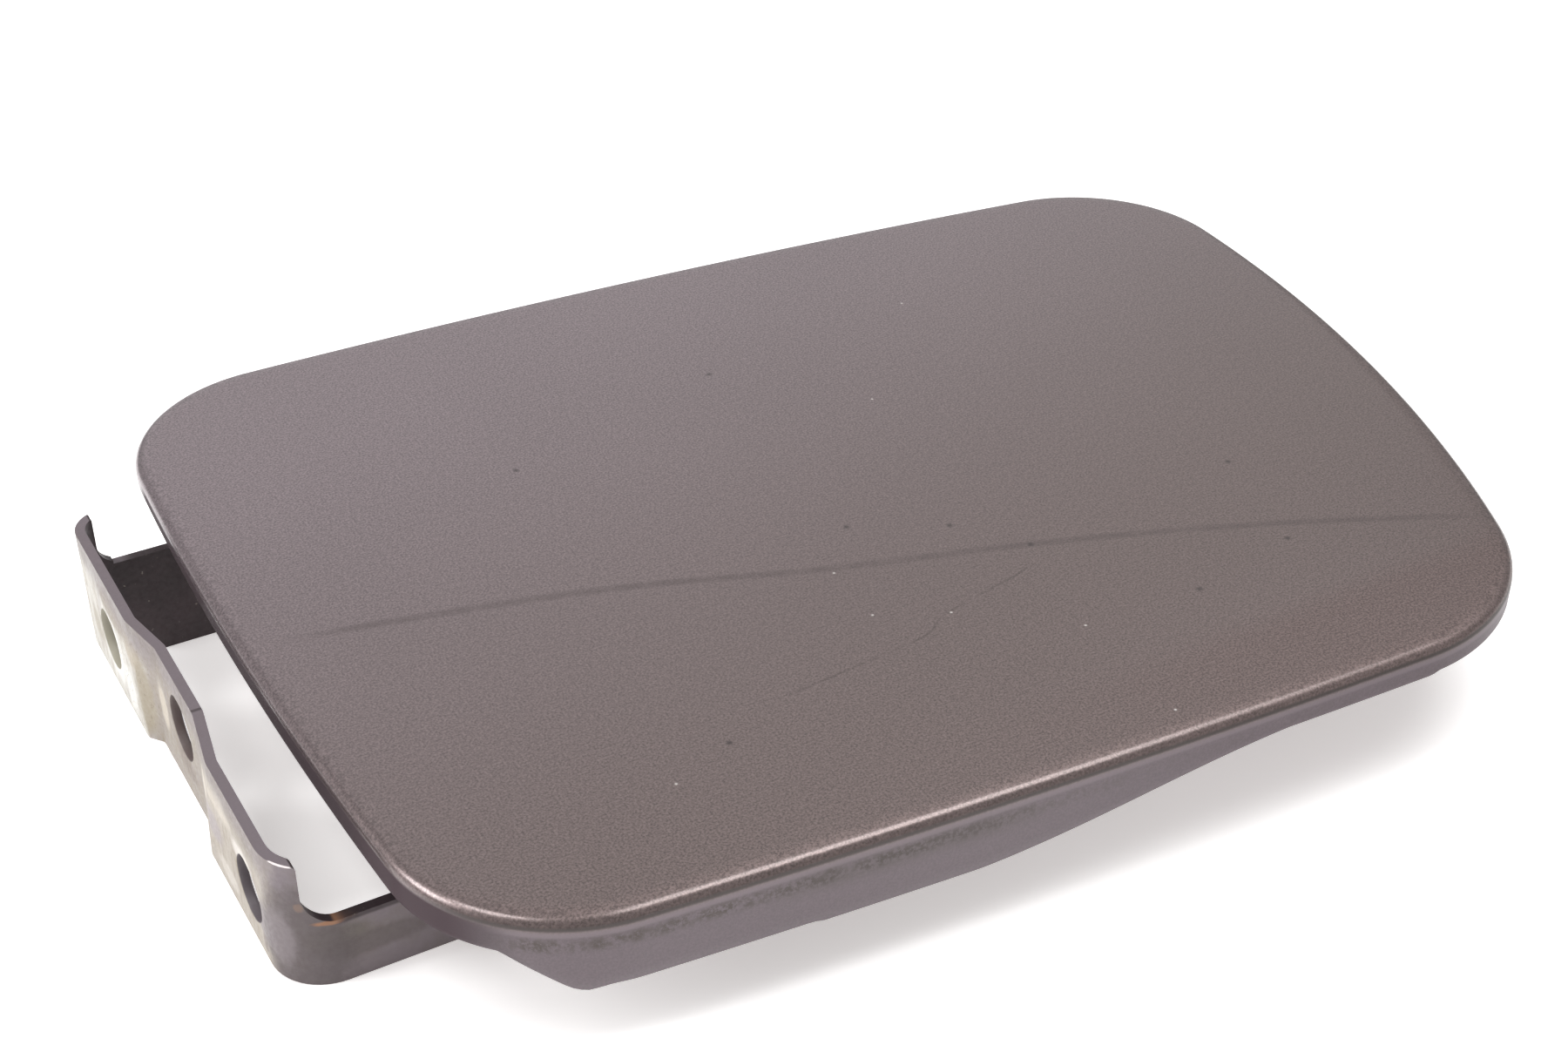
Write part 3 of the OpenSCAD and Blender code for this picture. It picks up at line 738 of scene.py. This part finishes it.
# Each spot of dirt: X, Z, reach
DIRT_SPOTS = [(22.5, 10.6, 1.6), (28.0, 10.4, 1.9), (32.5, 10.6, 2.2), (36.5, 10.9, 1.3), (56.0, 10.9, 1.6)]
in_front = paint.ramp(paint.y, -64, -60, 1, 0)
under_fold = paint.band(paint.z, *DIRT_Z, 0.6)
speckle = paint.ramp(paint.noise(0.7, 4, 0.7), 0.42, 0.58)
patches = paint.ramp(paint.noise(5, 4, 0.6, shift=3), 0.35, 0.60, 0.35, 1)
fades_right = paint.times(paint.ramp(paint.x, 13, 20), paint.ramp(paint.x, 50, 110, 1, 0.15))
dirt = paint.times(under_fold, fades_right, speckle, patches, 0.9)
for spot_x, spot_z, reach in DIRT_SPOTS:
    spot = paint.blot((spot_x, SKIRT_Y, spot_z), reach, (1, 6, 0.7))
    dirt = paint.most(dirt, paint.times(spot, paint.ramp(paint.noise(0.6, 4, 0.7, shift=6), 0.36, 0.56)))
dirt = paint.times(dirt, in_front)
base = paint.mix(paint.times(dirt, 0.85), base, ROAD_DIRT)
# Painted dark reflection: a dark line right under the front fold, for the dark room that the fold mirrors
painted_dark_reflection = paint.times(paint.band(paint.z, *DARK_REFLECTION_Z, 0.2), paint.ramp(paint.y, -60, -50, 1, 0))
base = paint.mix(paint.times(painted_dark_reflection, 0.9), base, PAINTED_DARK_REFLECTION)
# Painted light: a lighter strip between the dirt and the fold, for the floor's light on the top of the skirt
painted_light_strip = paint.times(in_front, paint.band(paint.z, *FLOOR_LIGHT_Z, 0.25))
base = paint.mix(paint.times(painted_light_strip, 0.6), base, PAINTED_FLOOR_LIGHT)
haze = paint.times(in_front, paint.band(paint.x, 50, 82, 6), paint.band(paint.z, 8.6, 11.4, 1.2),
                   paint.noise(4, 4, 0.6))
base = paint.mix(paint.times(haze, 0.4), base, DIRT_FILM)
print("spots of dirt on the skirt:", len(DIRT_SPOTS))

# %% The flange painted dark, the worn fold and the clear coat
PAINTED_FLANGE_DARK = colour(58, 42, 48)
# Roughness of the skirt and of the fold, then what the other places add to it
SKIRT_ROUGH = 0.46
FOLD_ROUGH = 0.35
FACE_DULLER = 0.13
DIRT_DULLER = 0.3
DARK_FLANGE_DULLER = 0.4
WORN_DULLER = 0.13
# What the painted dark flange keeps of the coat and of the metal, and what wear leaves of the coat
DARK_FLANGE_KEEPS = 0.05
WORN = 0.4
# The X of a face's direction, between which it counts as turned to the hinge
TO_HINGE = (-0.9, -0.6)
rough = paint.add(paint.ramp(paint.z, 12.2, 13.8, SKIRT_ROUGH, FOLD_ROUGH),
                  paint.times(paint.add(dirt, haze), DIRT_DULLER))
rough = paint.add(rough, paint.ramp(paint.z, 13.8, 14.0, 0, FACE_DULLER))
faces_left = paint.times(paint.ramp(turned(paint)[0], *TO_HINGE, 1, 0),
                         paint.ramp(paint.z, 12.2, 12.8, 1, 0), paint.ramp(paint.y, 42, 47, 1, 0))
# Painted dark reflection: the flange turned to the hinge is painted dark and dull, with less coat and metal,
# for the dark strap and shaded space it mirrors
base = paint.mix(paint.times(faces_left, 0.95), base, PAINTED_FLANGE_DARK)
rough = paint.add(rough, paint.times(faces_left, DARK_FLANGE_DULLER))
worn_fold = paint.times(paint.ramp(paint.x, 60, 150), paint.ramp(paint.y, -64, -56, 1, 0))
rough = paint.add(rough, paint.times(worn_fold, WORN_DULLER))
ripple = paint.bump(paint.noise(14, 1), 0.02)
sparkle = paint.bump(flakes, 0.004, ripple)
coat = paint.times(paint.ramp(faces_left, 0, 1, COAT, DARK_FLANGE_KEEPS), paint.ramp(worn_fold, 0, 1, 1, WORN))
paint.set(Base_Color=base, Roughness=rough, Normal=sparkle, Coat_Weight=coat,
          Metallic=paint.ramp(faces_left, 0, 1, METAL, DARK_FLANGE_KEEPS))
paint.on(skin)
print("paint laid on", skin.name)

# %% [markdown]
# ## The strap's worn primer
# The strap's outside has a pale primer that caught the edge of the mauve body spray, and its inside and
# its cut edges are still the dark dip coat. Bolts, fuel and road water left bare rings, tan stains, brown
# streaks and a little rust under the near ear. An image would only fit one view, so each mark is a soft
# blot with a broken rim, at its own place on the metal, and each is laid over the last one.

# %% Words for the strap's marks
# A mark starts and is full at these strengths of its blot, once noise has been added to it
MARK_RIM = (0.08, 0.62)
# Distances in mm towards a point, between which a face counts as turned to that point
LOOKS_IN = (2, 8)
# The share of a face's direction along an axis, between which it counts as turned that way
TURNED = (0.5, 0.9)


def broken(finish, centre, reach, flat=(1, 1, 1), grain=2.2, rag=0.55):
    """A soft blot whose rim is broken up by noise."""
    rim = finish.times(finish.less(finish.noise(grain, 5, 0.7, shift=centre[1] + centre[2]), 0.5), rag)
    return finish.ramp(finish.add(finish.blot(centre, reach, flat), rim), *MARK_RIM)


def facing(finish, target):
    """One where a surface faces a point in plan, nothing where it faces away."""
    faces = turned(finish)
    to_x = finish.less(target[0], finish.x)
    to_y = finish.less(target[1], finish.y)
    return finish.ramp(finish.add(finish.times(to_x, faces[0]), finish.times(to_y, faces[1])), *LOOKS_IN)


# %% Primer in three shades along the leg
FAR_PRIMER = colour(192, 189, 182)
MIDDLE_PRIMER = colour(144, 135, 127)
NEAR_PRIMER = colour(167, 159, 149)
STREAK = colour(140, 128, 110)
MAUVE_STREAK = colour(140, 131, 135)
primer = Finish("worn_primer", Metallic=0.05, Coat_Weight=0.1, Coat_Roughness=0.35)
fine = primer.noise(0.7, 3, 0.6)
drift = primer.times(primer.less(primer.noise(4, 4, 0.6, shift=9), 0.5), 5)
along_leg = primer.add(primer.y, drift)
tone = primer.mix(primer.ramp(along_leg, 12.5, 16), MIDDLE_PRIMER, FAR_PRIMER)
tone = primer.mix(primer.ramp(along_leg, -15, -10, 1, 0), tone, NEAR_PRIMER)
streaks = primer.ramp(primer.noise(1.5, 5, 0.7, (1, 1, 4), 5), 0.44, 0.64)
tone = primer.mix(primer.times(streaks, 0.6), tone, STREAK)
mauve_streaks = primer.ramp(primer.noise(2.2, 5, 0.7, (1, 1, 3), 8), 0.50, 0.68)
tone = primer.mix(primer.times(mauve_streaks, 0.4), tone, MAUVE_STREAK)
print("primer laid on", strap.name)

# %% Stains and rings on the leg
# Each mark: what it is, its centre, its reach, how far it stretches along X, Y and Z, colour and strength
LEG_MARKS = [
    ("bare ring of the far washer", (0, 27.6, -0.6), 8.2, (1, 1, 1), colour(222, 221, 217), 0.95),
    ("bare metal beside the far step", (0, 20.6, -3), 5.0, (1, 0.8, 1.3), colour(218, 217, 213), 0.8),
    ("tan haze above the far hole", (0, 25, 7.2), 8.0, (1, 1.3, 0.5), colour(140, 129, 116), 0.95),
    ("tan haze above the far step", (0, 17, 5.5), 5.0, (1, 0.9, 0.9), colour(160, 148, 130), 0.85),
    ("grime left of the far hole", (0, 36, -1.5), 4.0, (1, 0.7, 1.0), colour(160, 152, 138), 0.75),
    ("olive edge of the far step", (0.4, 14.6, -0.5), 4.6, (1, 0.7, 2.2), colour(148, 138, 120), 0.95),
    ("cream rub on the middle", (1.6, 9.2, 1), 3.6, (1, 0.8, 1.6), colour(190, 181, 167), 0.85),
    ("brown shade below the middle hole", (1.6, 0.5, -2.6), 5.0, (1, 1.3, 0.6), colour(124, 112, 104), 0.75),
    ("cream rub on the near step", (0.8, -11.5, 3.6), 4.0, (1, 0.8, 0.9), colour(200, 193, 181), 0.8),
    ("spray patch past the near step", (0, -15.5, 0.3), 6.0, (1, 1.0, 0.65), colour(152, 143, 144), 0.9),
    ("cream streak above the near hole", (0, -19, 6.6), 6.5, (1, 1.5, 0.5), colour(196, 188, 175), 0.75),
    ("olive haze above the near hole", (0, -28, 7.8), 6.5, (1, 1.4, 0.45), colour(154, 145, 131), 0.85),
    ("bare ring of the near washer", (0, -28, 3.8), 5.5, (1, 1.1, 0.5), colour(208, 203, 197), 0.85),
    ("rub below the near step", (0, -20, -4.6), 5.0, (1, 1.2, 0.5), colour(196, 190, 182), 0.7),
    ("spray round the near hole", (0, -35, -1.2), 6.0, (1, 0.85, 0.9), colour(132, 124, 127), 0.9),
    ("scar beside the near hole", (0, -33.6, -5.2), 1.8, (1, 0.8, 1.2), colour(112, 100, 98), 0.6),
]
PIT = colour(124, 112, 95)
for name, centre, reach, flat, mark, strength in LEG_MARKS:
    tone = primer.mix(primer.times(broken(primer, centre, reach, flat), strength), tone, mark)
by_far_step = primer.ramp(primer.band(primer.y, 11, 24, 3), 0, 1, 0.25, 0.8)
pits = primer.ramp(primer.noise(0.55, 3, 0.6, shift=4), 0.58, 0.68)
tone = primer.mix(primer.times(pits, by_far_step), tone, PIT)
print("marks on the leg:", len(LEG_MARKS))

# %% Body spray on the top edge and from the near bend on
SPRAY = colour(108, 98, 97)
SPRAY_MAUVE = colour(116, 106, 111)
SPRAY_TOP = colour(104, 94, 99)
faces = turned(primer)
wander = primer.times(primer.less(primer.noise(5, 4, 0.6), 0.5), 6)
top_haze = primer.times(primer.ramp(primer.add(primer.z, primer.times(wander, 0.4)), 4.6, 9.8), 0.72)
near_turn = primer.ramp(primer.add(primer.y, wander), -39, -34, 1, 0)
on_top = primer.ramp(faces[2], *TURNED)
spray = primer.most(on_top, top_haze, near_turn, primer.ramp(primer.x, 3.0, 5.0))
spray_tone = primer.mix(primer.ramp(primer.noise(6, 5, 0.65, shift=2), 0.35, 0.65), SPRAY, SPRAY_MAUVE)
tone = primer.mix(spray, tone, spray_tone)
tone = primer.mix(primer.times(on_top, 0.85), tone, SPRAY_TOP)
# Marks on the near arm, written as those of the leg are
ARM_MARKS = [
    ("olive smudge on the near bend", (6, -41.8, -0.8), 6.5, (1.1, 1, 0.55), colour(94, 86, 78), 0.8),
    ("brown shade along the near arm", (11, -41.8, -2.6), 9, (1.5, 1, 0.3), colour(88, 78, 77), 0.75),
    ("dusty foot of the near arm", (9, -41.8, -6.2), 9, (1.6, 1, 0.28), colour(114, 104, 108), 0.7),
    ("shade round the near bend", (3, -39.5, -2), 12, (0.8, 0.8, 1.3), colour(80, 70, 71), 0.8),
    ("brown tail on the near arm", (34, -41.8, -2), 18, (1.4, 1, 0.3), colour(96, 86, 85), 0.6),
    ("pale rub on the near bend", (0.9, -37.5, -1), 4, (0.8, 1, 1.8), colour(140, 131, 135), 0.4),
    ("rust under the near ear", (6.4, -41.7, 2.1), 3.2, (1.3, 1, 0.2), colour(150, 104, 70), 0.85),
    ("rust on the ear's root", (2.6, -40.4, 4.6), 1.1, (1, 1, 1), colour(140, 110, 88), 0.4),
]
for name, centre, reach, flat, mark, strength in ARM_MARKS:
    tone = primer.mix(primer.times(broken(primer, centre, reach, flat, 1.4), strength), tone, mark)
print("marks on the arms:", len(ARM_MARKS))

# %% The dark inside, the cut edges and the holes
DIP_COAT = colour(42, 28, 32)
DIP_DULL = colour(52, 37, 41)
DUST = colour(150, 140, 128)
MIDDLE_OF_STRAP = (45, 1.5, 0)
inside = facing(primer, MIDDLE_OF_STRAP)
dip_tone = primer.mix(primer.ramp(primer.noise(5, 5, 0.65, shift=7), 0.35, 0.65), DIP_COAT, DIP_DULL)
dust = primer.ramp(primer.noise(0.9, 2, 0.6, shift=1), 0.70, 0.78)
dip_tone = primer.mix(primer.times(dust, 0.5), dip_tone, DUST)
tone = primer.mix(inside, tone, dip_tone)
arm_tops = primer.times(primer.ramp(primer.z, 1.3, 1.8), primer.ramp(primer.z, 7, 8, 1, 0),
                        primer.ramp(primer.x, 6, 8))
ear_ends = primer.times(primer.ramp(faces[0], *TURNED), primer.ramp(primer.x, 9, 10, 1, 0),
                        primer.ramp(primer.x, 2, 2.6))
tone = primer.mix(primer.most(primer.times(arm_tops, 0.9), primer.times(ear_ends, 0.6)), tone, dip_tone)
HOLE_WALLS = [colour(160, 155, 140), colour(92, 79, 77), colour(92, 84, 88)]
for (hole_y, hole_z, radius), wall in zip(HOLES, HOLE_WALLS):
    from_axis = primer.distance((0, hole_y, hole_z), (0, 1, 1))
    in_hole = primer.times(primer.ramp(from_axis, radius + NEAR_RIM, radius + 0.2, 1, 0),
                           primer.ramp(primer.x, 3.2, 3.6, 1, 0))
    tone = primer.mix(in_hole, tone, wall)
print("dark inside, with", len(HOLE_WALLS), "hole walls")

# %% A nick, a bare edge with a painted highlight and the weld burns
NICK = colour(58, 48, 50)
BARE_EDGE_AND_HIGHLIGHT = colour(228, 219, 219)
BURN = colour(84, 74, 78)
BURN_R = 6
ROUND_NEAR_BEND = (7.2, -34.6, 0)
nick = primer.times(on_top, primer.band(primer.y, -6.6, -6.1, 0.12), primer.ramp(primer.x, 3.4, 3.8, 1, 0))
tone = primer.mix(primer.times(nick, 0.8), tone, NICK)
on_outside = primer.ramp(primer.distance(ROUND_NEAR_BEND, (1, 1, 0)), 6.95, 7.1)
# Partly bare metal and partly a painted highlight: a thin near-white line along the top of the near ear's
# outside
bare_edge_and_highlight = primer.times(primer.blot((1.6, -38.9, 10.75), 2.8, (1, 1, 0.09)), on_outside)
tone = primer.mix(primer.ramp(bare_edge_and_highlight, 0.3, 0.5), tone, BARE_EDGE_AND_HIGHLIGHT)
for weld_x, weld_y in weld_places:
    heat = primer.blot((weld_x, weld_y, FOOT_UNDER), BURN_R)
    burn = primer.times(heat, primer.ramp(fine, 0.2, 0.6))
    tone = primer.mix(primer.times(burn, 0.7), tone, BURN)
rough = primer.ramp(fine, 0.3, 0.7, 0.45, 0.65)
dents = primer.add(primer.noise(0.9, 3), primer.times(nick, -2))
primer.set(Base_Color=tone, Roughness=rough, Normal=primer.bump(dents, 0.03))
primer.on(strap)
print("strap finished")

# %% [markdown]
# ## Finishes under the lid
# The panel has a thin, dusty coat of the body spray. The catch is zinc plated, the rivets are bare
# steel, the stops are black rubber with a moulding bloom, and the pads are closed-cell foam.

# %% Panel, catch, rivets, rubber and foam
panel = Finish("thin_spray", Metallic=0.35, Coat_Weight=0.1, Coat_Roughness=0.4)
clouded = panel.ramp(panel.noise(18, 4, 0.6), 0.35, 0.65)
panel_tone = panel.mix(clouded, colour(122, 112, 116), colour(108, 99, 101))
dusty = panel.times(panel.ramp(panel.noise(3, 4, 0.7), 0.55, 0.7), 0.4)
panel_tone = panel.mix(dusty, panel_tone, colour(86, 76, 64))
panel.set(Base_Color=panel_tone, Roughness=panel.ramp(panel.noise(4, 3), 0.3, 0.7, 0.45, 0.65),
          Normal=panel.bump(panel.noise(0.6, 2), 0.02))
panel.on(under["inner_panel"])

zinc = Finish("dull_zinc", Metallic=0.9)
spangle = zinc.ramp(zinc.noise(2.5, 4, 0.6), 0.3, 0.7)
zinc_tone = zinc.mix(spangle, colour(176, 176, 166), colour(150, 150, 138))
white_rust = zinc.times(zinc.ramp(zinc.noise(5, 4, 0.7, shift=4), 0.58, 0.72), 0.6)
zinc_tone = zinc.mix(white_rust, zinc_tone, colour(196, 190, 178))
zinc.set(Base_Color=zinc_tone, Roughness=zinc.ramp(zinc.noise(1.2, 3), 0.3, 0.7, 0.34, 0.55),
         Normal=zinc.bump(zinc.noise(0.3, 2), 0.01))
zinc.on(under["latch_catch"])

steel = Finish("rivet_metal", Metallic=1.0)
tarnish = steel.ramp(steel.noise(1.5, 4), 0.35, 0.65)
steel_tone = steel.mix(tarnish, colour(186, 186, 188), colour(150, 146, 142))
steel.set(Base_Color=steel_tone, Roughness=steel.ramp(steel.noise(0.7, 3), 0.3, 0.7, 0.25, 0.45),
          Normal=steel.bump(steel.noise(0.25, 2), 0.008))
steel.on(under["catch_rivet_near"], under["catch_rivet_far"])

rubber = Finish("stop_rubber", Specular_IOR_Level=0.35)
bloom = rubber.ramp(rubber.noise(3, 4, 0.6), 0.45, 0.75)
rubber_tone = rubber.mix(bloom, colour(38, 38, 39), colour(66, 65, 64))
rubber.set(Base_Color=rubber_tone, Roughness=rubber.ramp(rubber.noise(2, 3), 0.3, 0.7, 0.6, 0.8),
           Normal=rubber.bump(rubber.noise(0.35, 2), 0.02))
rubber.on(under["buffer_near"], under["buffer_far"])

foam = Finish("pad_foam", Roughness=0.95, Specular_IOR_Level=0.2)
cells = foam.noise(0.6, 2, 0.7)
foam.set(Base_Color=foam.mix(cells, colour(40, 40, 41), colour(74, 73, 72)), Normal=foam.bump(cells, 0.15))
foam.on(under["foam_pad_near"], under["foam_pad_far"])
print("finishes:", [m.name for m in bpy.data.materials if m.users])

# %% [markdown]
# ## Floor and light
# The flap lies on three points: the low edge of the far arm, the near end of the leg and the tongue of
# the catch. The floor is the plane through them. The light is a plain studio with four soft boxes. One
# overhead draws the bright line along the front fold, one low on the left lights the strap and the near
# corner, one high on the left fills, and a wide dim one behind lays its sheen on the flat face. The room
# is pale above and darker at the horizon, so that the flange stays dark, and white below it, so that no
# dark edge shows behind the paper.

# %% Floor
FLOOR_SIZE = 6.0
FLOOR_GAP = 0.02
PAPER_GLOW = 0.45
WARM_WHITE = (1.0, 0.96, 0.945, 1.0)
# The far arm, the catch and the leg touch the floor here, in mm
floor_points = [Vector((10.0, 43.5, -14.5)) * MM, Vector((172.55, -2.34, -11.18)) * MM,
                Vector((7.2, -41.8, -7.5)) * MM]
floor_normal = plane_normal(*floor_points)
if floor_normal.z < 0:
    floor_normal = -floor_normal
bpy.ops.object.select_all(action="DESELECT")
bpy.ops.mesh.primitive_plane_add(size=FLOOR_SIZE, location=floor_points[0] - floor_normal * FLOOR_GAP * MM,
                                 rotation=floor_normal.to_track_quat("Z", "Y").to_euler())
floor = bpy.context.object
floor.name = "studio_floor"
paper = Finish("white_paper", Roughness=0.9, Specular_IOR_Level=0.1, Emission_Strength=PAPER_GLOW,
               Emission_Color=WARM_WHITE)
paper.set(Base_Color=paper.mix(paper.noise(60, 2), colour(250, 250, 250), colour(252, 252, 252)))
paper.on(floor)
print("floor leans by", round(math.degrees(floor_normal.angle((0, 0, 1))), 2), "degrees to the part's frame")

# %% Light
SUBJECT = Vector((95, 0, 5)) * MM


def soft_box(name, offset, size, watts):
    """A square soft light that faces the flap, at an offset from it in metres."""
    place = SUBJECT + Vector(offset)
    bpy.ops.object.light_add(type="AREA", location=place,
                             rotation=(SUBJECT - place).to_track_quat("-Z", "Y").to_euler())
    box = bpy.context.object
    box.name = name
    box.data.shape = "SQUARE"
    box.data.size = size
    box.data.energy = watts


soft_box("overhead", (0.33, -0.12, 0.84), 0.52, 4.4)
soft_box("key_from_left", (-0.76, 0.20, 0.44), 0.34, 3.5)
soft_box("high_left", (-0.45, 0.00, 0.80), 0.35, 2.2)
soft_box("wide_sheen_from_back", (0.32, 0.78, 0.52), 1.0, 1.0)

# %% The pale room
# How strongly the room glows: each pair is a height, from the horizon at 0 to 1 straight up, and the
# strength there
WALLS = ((0.0, 0.16), (0.35, 0.42))
BELOW_HORIZON = ((-0.04, 1.0), (0.0, 0.0))
world = bpy.data.worlds.new("pale_room")
world.use_nodes = True
room = world.node_tree
height = room.nodes.new("ShaderNodeSeparateXYZ")
room.links.new(room.nodes.new("ShaderNodeTexCoord").outputs["Generated"], height.inputs[0])
total = room.nodes.new("ShaderNodeMath")
for ((low, at_low), (high, at_high)), socket in zip((WALLS, BELOW_HORIZON), total.inputs):
    glow = room.nodes.new("ShaderNodeMapRange")
    for value, setting in zip((low, high, at_low, at_high), list(glow.inputs)[1:]):
        setting.default_value = value
    room.links.new(height.outputs[2], glow.inputs[0])
    room.links.new(glow.outputs[0], socket)
room.links.new(total.outputs[0], room.nodes["Background"].inputs["Strength"])
room.nodes["Background"].inputs["Color"].default_value = (1, 1, 1, 1)
bpy.context.scene.world = world
bpy.context.scene.view_settings.view_transform = "Standard"
print("room:", world.name, "with", len(room.nodes), "nodes")
